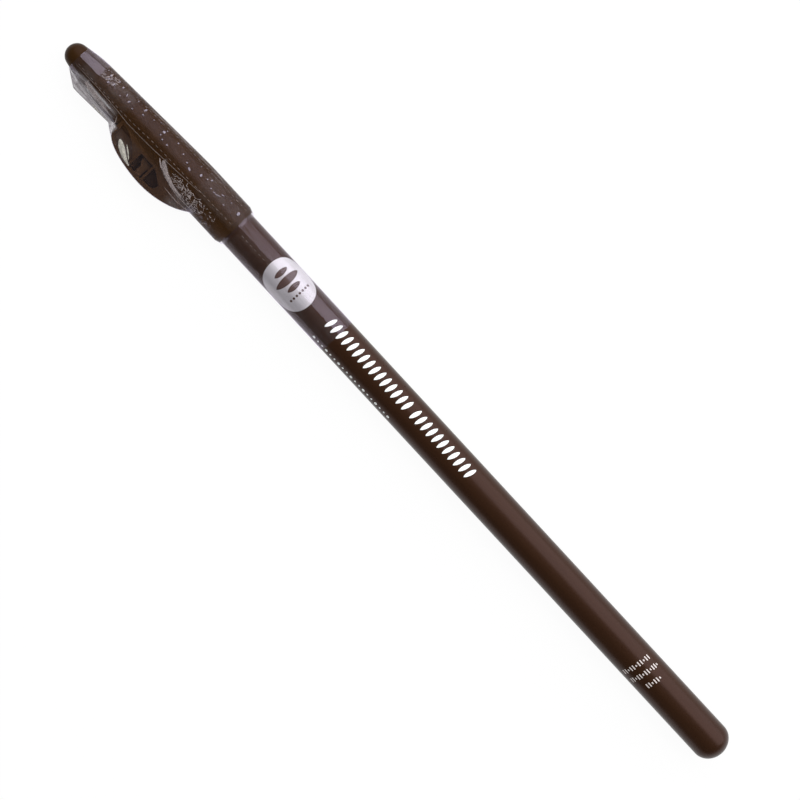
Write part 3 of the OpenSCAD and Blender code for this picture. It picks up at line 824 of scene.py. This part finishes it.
def add_ridge(points, faces, top, line, width, lift=0.03, step=0.3, lean=1.0, taper=0.35):
    """Adds a raised line on the film, tapered at both ends, to lists of points and faces.

    A lean below 1 brings its widest place nearer to its start.
    """
    path = resample(line, step)
    start, count = len(points), len(path)
    for i, (x, y) in enumerate(path):
        (xa, ya), (xb, yb) = path[max(0, i - 1)], path[min(count - 1, i + 1)]
        length = math.hypot(xb - xa, yb - ya)
        nx, ny = -(yb - ya) / length, (xb - xa) / length
        half = width / 2 * max(0.2, math.sin(math.pi * ((i + 0.5) / count) ** lean) ** taper)
        for across, up in ((-1, 0.008), (0, lift), (1, 0.008), (1, SUNK), (-1, SUNK)):
            points.append(top.point(x + nx * half * across, y + ny * half * across, up))
    for i in range(count - 1):
        for k in range(5):
            a, b = start + 5 * i + k, start + 5 * i + (k + 1) % 5
            faces.append([a, a + 5, b + 5, b])
    faces.append([start + k for k in range(5)])
    faces.append([start + 5 * (count - 1) + k for k in (4, 3, 2, 1, 0)])


def add_blister(points, faces, top, x, y, length, width, turn=0.0, height=0.06):
    """Adds a small flat dome on the film to lists of points and faces."""
    start, around = len(points), 12
    c, s = math.cos(turn), math.sin(turn)
    points.append(top.point(x, y, height))
    rings = ((0.55, 0.75 * height), (0.88, 0.3 * height), (1.0, 0.004), (0.95, SUNK))
    for part, up in rings:
        for k in range(around):
            a = 2 * math.pi * k / around
            u, v = part * length / 2 * math.cos(a), part * width / 2 * math.sin(a)
            points.append(top.point(x + u * c - v * s, y + u * s + v * c, up))
    for k in range(around):
        n = (k + 1) % around
        faces.append([start, start + 1 + k, start + 1 + n])
        for ring in range(len(rings) - 1):
            a, b = start + 1 + ring * around, start + 1 + (ring + 1) * around
            faces.append([a + k, b + k, b + n, a + n])
    last = start + 1 + (len(rings) - 1) * around
    faces.append([last + k for k in range(around - 1, -1, -1)])


# Air bubbles under the film: x, y, length, width and the turn of their long side in degrees
BUBBLES = [
    (10.0, 2.3, 0.5, 0.4, 0), (10.2, 1.57, 0.5, 0.4, 0), (10.5, 0.95, 0.7, 0.4, 40),
    (11.6, 1.41, 0.7, 0.45, 60), (12.0, 2.65, 0.5, 0.25, 50), (13.3, 2.4, 0.55, 0.4, 60),
    (16.1, 1.35, 0.8, 0.4, 50), (17.5, 0.86, 0.5, 0.3, 0), (17.3, 2.8, 0.35, 0.3, 0),
    (19.5, 2.6, 1.0, 0.45, 55), (19.8, 1.6, 0.45, 0.4, 0), (25.1, 2.35, 0.75, 0.6, 0),
    (25.0, 1.5, 0.4, 0.3, 0), (25.4, 2.95, 0.35, 0.3, 0), (25.9, 1.1, 0.45, 0.35, 0),
    (27.3, 1.05, 0.5, 0.45, 0), (28.6, 2.9, 0.45, 0.4, 0), (30.8, 2.2, 0.4, 0.35, 60),
    (32.5, 1.6, 0.55, 0.4, 0), (33.7, 1.05, 1.1, 0.5, -30), (36.2, 1.92, 0.7, 0.65, 90),
    (37.6, 2.32, 0.45, 0.35, 30), (38.4, 2.8, 0.6, 0.4, 30), (39.4, 1.6, 0.4, 0.35, 0),
    (40.4, 1.5, 0.9, 0.2, 0), (42.0, 2.4, 0.9, 0.25, 5), (41.3, 1.65, 1.6, 0.2, 10),
    (46.7, 2.15, 0.8, 1.0, 0), (43.4, 1.2, 0.6, 0.2, 0), (44.2, 2.6, 0.35, 0.3, 0),
    (22.0, 2.5, 0.3, 0.25, 0), (14.9, 1.9, 0.25, 0.9, 10), (14.0, 0.85, 0.3, 0.25, 0),
    (8.9, 2.6, 0.35, 0.3, 0), (35.0, 3.1, 0.35, 0.3, 0), (23.3, 3.2, 0.3, 0.25, 0),
]


WANDER_STEP = 0.16
CRINKLES, NOSE_CRINKLES = 150, 22


def wander(random, x, y, length, bend, heading):
    """A short line that turns at random on its way."""
    line = [(x, y)]
    for _ in range(max(3, round(length / WANDER_STEP))):
        heading += random.uniform(-bend, bend)
        x, y = x + WANDER_STEP * math.cos(heading), y + WANDER_STEP * math.sin(heading)
        line.append((x, y))
    return line


def holes():
    """The dashes of both lines of perforation, as ridges."""
    front_dash, back_dash = 0.62, 0.5
    ridges = []
    x = HOLES_LINE[0][0]
    while x < HOLES_END:
        y = along(HOLES_LINE, x) if x < HOLES_LINE[-1][0] else HOLES_LINE[-1][1]
        if not BEVEL_X - 0.3 < x < CAP_L + DRAW_IN_L:
            ridges.append(([(x, y), (x + front_dash, y)], 0.11, 0.02, 0.2))
        x += HOLES_PITCH
    x, back_end = BACK_HOLES
    while x < back_end:
        y = between(3.1, 3.75, share(x, BACK_HOLES[0], 30.0))
        ridges.append(([(x, y), (x + back_dash, y)], 0.1, 0.02, 0.2))
        x += HOLES_PITCH
    return ridges


def crinkles(random):
    """The fine crinkles behind the arc and, a few, at the nose, as ridges."""
    ridges = []
    for _ in range(CRINKLES):
        x, y = random.triangular(31.8, 44.6, 37.0), random.uniform(-3.9, -1.6)
        if y < -3.1 and x < 34.5:
            continue
        length = random.uniform(0.35, 0.9)
        heading = random.uniform(-0.7, 0.7) + random.choice((0, math.pi))
        line = wander(random, x, y, length, 0.9, heading)
        ridges.append((line, random.uniform(0.08, 0.14), 0.035, WANDER_STEP))
    for _ in range(NOSE_CRINKLES):
        x, y = random.uniform(8.9, 12.0), random.uniform(0.9, 2.7)
        line = wander(random, x, y, random.uniform(0.35, 0.8), 0.8, random.uniform(0, 2 * math.pi))
        ridges.append((line, 0.1, 0.03, WANDER_STEP))
    return ridges


# Ridges on the film, each given as its line, width, lift, step, lean and taper
FOLDS = [
    (FOLD_LINE, 0.14),
    (BACK_STREAKS[0], 0.12),
    (BACK_STREAKS[1], 0.12),
]
# Painted highlights: the bright wedge at the front and two fainter glints
GLINTS = [
    (FRONT_GLINT_LINE, 1.15, 0.04, 0.15, 0.62, 0.9),
    ([(21.9, -4.7), (23.2, -5.6), (24.3, -6.5)], 0.22, 0.03, 0.15),
    ([(11.4, -4.35), (13.4, -4.45), (15.6, -4.3)], 0.3, 0.03, 0.2),
]
# Creases painted pale as highlights: the arc streak, short creases and the glint on the flap
ARCS = [
    (ARC_GLINT_LINE, 0.95, 0.05, 0.15, 0.55, 0.8),
    ([(28.2, -1.75), (29.4, -2.6), (30.2, -2.9)], 0.3, 0.03, 0.15),
    ([(33.2, -3.95), (36.0, -4.3), (39.0, -4.2), (41.0, -3.9)], 0.16, 0.03, 0.2),
    ([(33.0, -5.0), (36.5, -5.2), (39.5, -4.8)], 0.12, 0.02, 0.2),
    ([(7.4, -2.3), (9.6, -2.6), (12.0, -2.85), (14.8, -3.1)], 1.0, 0.05, 0.2, 0.75, 0.7),
    ([(7.7, -1.5), (7.75, -2.3), (8.1, -3.3)], 0.14, 0.03, 0.15),
    ([(16.6, -2.4), (17.1, -3.3), (17.4, -4.2)], 0.16, 0.02, 0.15),
]


def film_details(crease_highlight, faint, bubble_highlight, glint):
    """The film's fold lines, perforations, creases, crinkles and air bubbles, raised on the film and
    painted pale as highlights.
    """
    top = FilmTop()
    groups = (
        ("film_folds", FOLDS, faint),
        ("film_perforations", holes(), faint),
        ("film_glint", GLINTS, glint),
        ("film_arc", ARCS, crease_highlight),
        ("film_crinkles", crinkles(Random(11)), crease_highlight),
    )
    for name, ridges, material in groups:
        points, faces = [], []
        for ridge in ridges:
            add_ridge(points, faces, top, *ridge)
        add_mesh(name, points, faces, material, "cap", 70)

    # Air bubbles: small domes painted pale, a painted reflection of the lamp
    points, faces = [], []
    for x, y, length, width, turn in BUBBLES:
        add_blister(points, faces, top, x, y, 0.8 * length, 0.75 * width, math.radians(turn + 12))
    add_mesh("film_bubbles", points, faces, bubble_highlight, "cap", 80)


# Stage

CAMERA_DISTANCE, CAMERA_TILT, CAMERA_ROLL = 0.65, math.radians(5.0), math.radians(47.255)
CAMERA_LENS, SENSOR = 146.79, 36.0
AIM = Vector((-0.00050, 0.00236, 0.00491))  # the point of the row frame in the picture's middle
FLOOR_HALF = 3.0
SKY_STRENGTH = 0.12


def add_camera():
    """Camera above the pencil, turned so that the cap is at the upper left of the picture."""
    back = Vector((-math.sin(CAMERA_TILT), 0, math.cos(CAMERA_TILT)))
    level = Vector((math.cos(CAMERA_TILT), 0, math.sin(CAMERA_TILT)))
    across = Vector((0, 1, 0))
    right = level * math.cos(CAMERA_ROLL) + across * math.sin(CAMERA_ROLL)
    up = across * math.cos(CAMERA_ROLL) - level * math.sin(CAMERA_ROLL)
    data = bpy.data.cameras.new("camera")
    data.lens, data.sensor_width = CAMERA_LENS, SENSOR
    data.clip_start, data.clip_end = 0.01, 10
    camera = bpy.data.objects.new("camera", data)
    axes = Matrix((right, up, back)).transposed().to_4x4()
    camera.matrix_world = Matrix.Translation(AIM + back * CAMERA_DISTANCE) @ axes
    bpy.context.scene.collection.objects.link(camera)
    bpy.context.scene.camera = camera


def add_lamp(name, place, size, watts, colour=(1, 1, 1), mirrored=True):
    """A rectangular lamp aimed at the pencil's middle; mirrored says if gloss shows it."""
    data = bpy.data.lights.new(name, "AREA")
    data.shape = "RECTANGLE"
    data.size, data.size_y = size
    data.energy = watts
    data.color = colour
    lamp = bpy.data.objects.new(name, data)
    lamp.location = place
    lamp.rotation_euler = (-Vector(place)).to_track_quat("-Z", "Y").to_euler()
    lamp.visible_glossy = mirrored
    bpy.context.scene.collection.objects.link(lamp)


def add_stage():
    """The floor, the dim room and the two lamps."""
    corners = [(x * FLOOR_HALF, y * FLOOR_HALF, 0) for x, y in ((-1, -1), (1, -1), (1, 1), (-1, 1))]
    mesh = bpy.data.meshes.new("floor")
    mesh.from_pydata(corners, [], [(0, 1, 2, 3)])
    mesh.materials.append(floor_material())
    floor = bpy.data.objects.new("floor", mesh)
    bpy.context.scene.collection.objects.link(floor)

    world = bpy.data.worlds.new("room")
    world.use_nodes = True
    sky = world.node_tree.nodes["Background"]
    sky.inputs["Color"].default_value = (1, 1, 1, 1)
    sky.inputs["Strength"].default_value = SKY_STRENGTH
    bpy.context.scene.world = world

    add_lamp("key", (0, 0.61, 0.52), (2.6, 1.1), 18.0, (0.98, 0.97, 1.0))
    add_lamp("overhead", (0, 0.1, 1.1), (1.2, 1.0), 8.0, mirrored=False)


def dress_solids():
    """Gives the carried-over solids their materials."""
    steel = steel_material("blade_steel", rgb(196, 198, 202), 2600, 160, 0.28)
    plated = steel_material("screw_steel", rgb(176, 177, 180), 900, 900, 0.34)
    wood = wood_material()
    looks = {
        "casing_half_upper": wood,
        "casing_half_lower": wood,
        "pigment_core": pigment_material(),
        "cap_shell": cap_material(),
        "sharpener_blade": steel,
        "blade_screw": plated,
    }
    for node, material in looks.items():
        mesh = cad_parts[node].data
        mesh.materials.clear()
        mesh.materials.append(material)


bpy.context.scene.view_settings.view_transform = "Standard"
dress_solids()
lacquer_coat(lacquer_material())
decorate(
    foil_material(),
    ink_material("brown_ink", rgb(70, 48, 42)),
    ink_material("white_ink", rgb(240, 244, 242)),
    ink_material("grey_ink", rgb(206, 198, 194)),
)
shrink_film(film_material())
# Pale film materials: painted highlights on creases, folds, bubbles and glints
film_details(
    film_highlight_material("film_crease_highlight", rgb(204, 190, 188), 0.42),
    film_highlight_material("film_fold_highlight", rgb(190, 174, 168), 0.2),
    film_highlight_material("film_bubble_highlight", rgb(206, 198, 216), 0.26),
    film_highlight_material("film_glint", rgb(232, 228, 214), 0.66),
)
add_stage()
add_camera()

bpy.context.view_layer.update()
